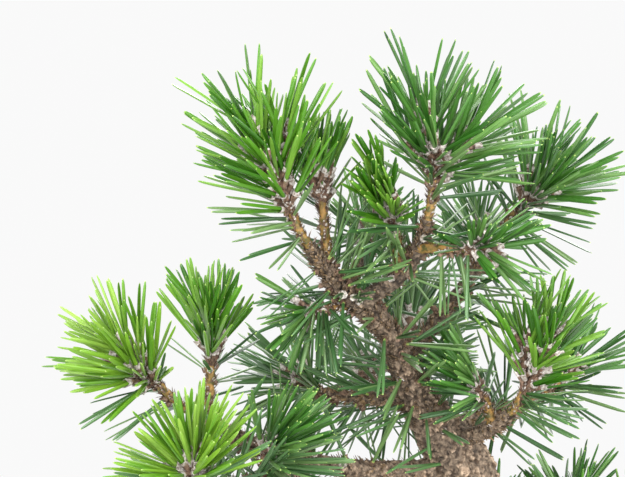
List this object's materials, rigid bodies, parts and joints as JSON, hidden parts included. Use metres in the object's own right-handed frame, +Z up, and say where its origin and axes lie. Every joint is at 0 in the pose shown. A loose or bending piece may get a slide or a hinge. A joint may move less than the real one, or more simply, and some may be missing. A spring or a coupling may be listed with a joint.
{
  "type": "japanese black pine bonsai in a pot",
  "caption": "Potted black pine bonsai: bent tapering trunk with a flared foot, boughs that end in tufts of stiff needles, plain rectangular clay pot that stands on its flat underside.",
  "frame": {"origin": "middle of the pot's flat underside", "axes": "+Z up along the height, +X to the viewer's right along the pot's long side, +Y away from the viewer"},
  "size_m": [0.3035, 0.2549, 0.3537],
  "materials": {
    "needles": "glossy stiff green needles",
    "bark": "rough flaking grey-brown bark",
    "clay": "matt unglazed brown clay",
    "earth": "matt granular soil"
  },
  "bodies": {
    "root": {"trunk": "bark", "bough_left": "bark", "bough_left_front": "bark", "bough_right": "bark", "bough_crown_right": "bark", "bough_back_right": "bark", "bough_back_middle": "bark", "bough_back_low": "bark", "bough_back_left": "bark", "bough_back_right_low": "bark", "bough_top_back": "bark", "bough_right_low": "bark", "bough_left_low": "bark", "bough_back_first": "bark", "needles_top_left": "needles", "needles_top_middle": "needles", "needles_crown_small": "needles", "needles_crown_right": "needles", "needles_crown_edge": "needles", "needles_back_right": "needles", "needles_back_right_side": "needles", "needles_right": "needles", "needles_right_inner": "needles", "needles_left": "needles", "needles_left_upper": "needles", "needles_left_front": "needles", "needles_left_front_inner": "needles", "needles_inner_left": "needles", "needles_back_middle": "needles", "needles_back_low": "needles", "needles_back_left": "needles", "needles_back_right_low": "needles", "needles_top_back": "needles", "needles_right_low": "needles", "needles_right_low_front": "needles", "needles_right_low_back": "needles", "needles_left_low": "needles", "needles_left_low_front": "needles", "needles_left_low_back": "needles", "needles_back_first": "needles", "needles_back_first_side": "needles", "pot": "clay", "soil": "earth"}
  },
  "joints": []
}
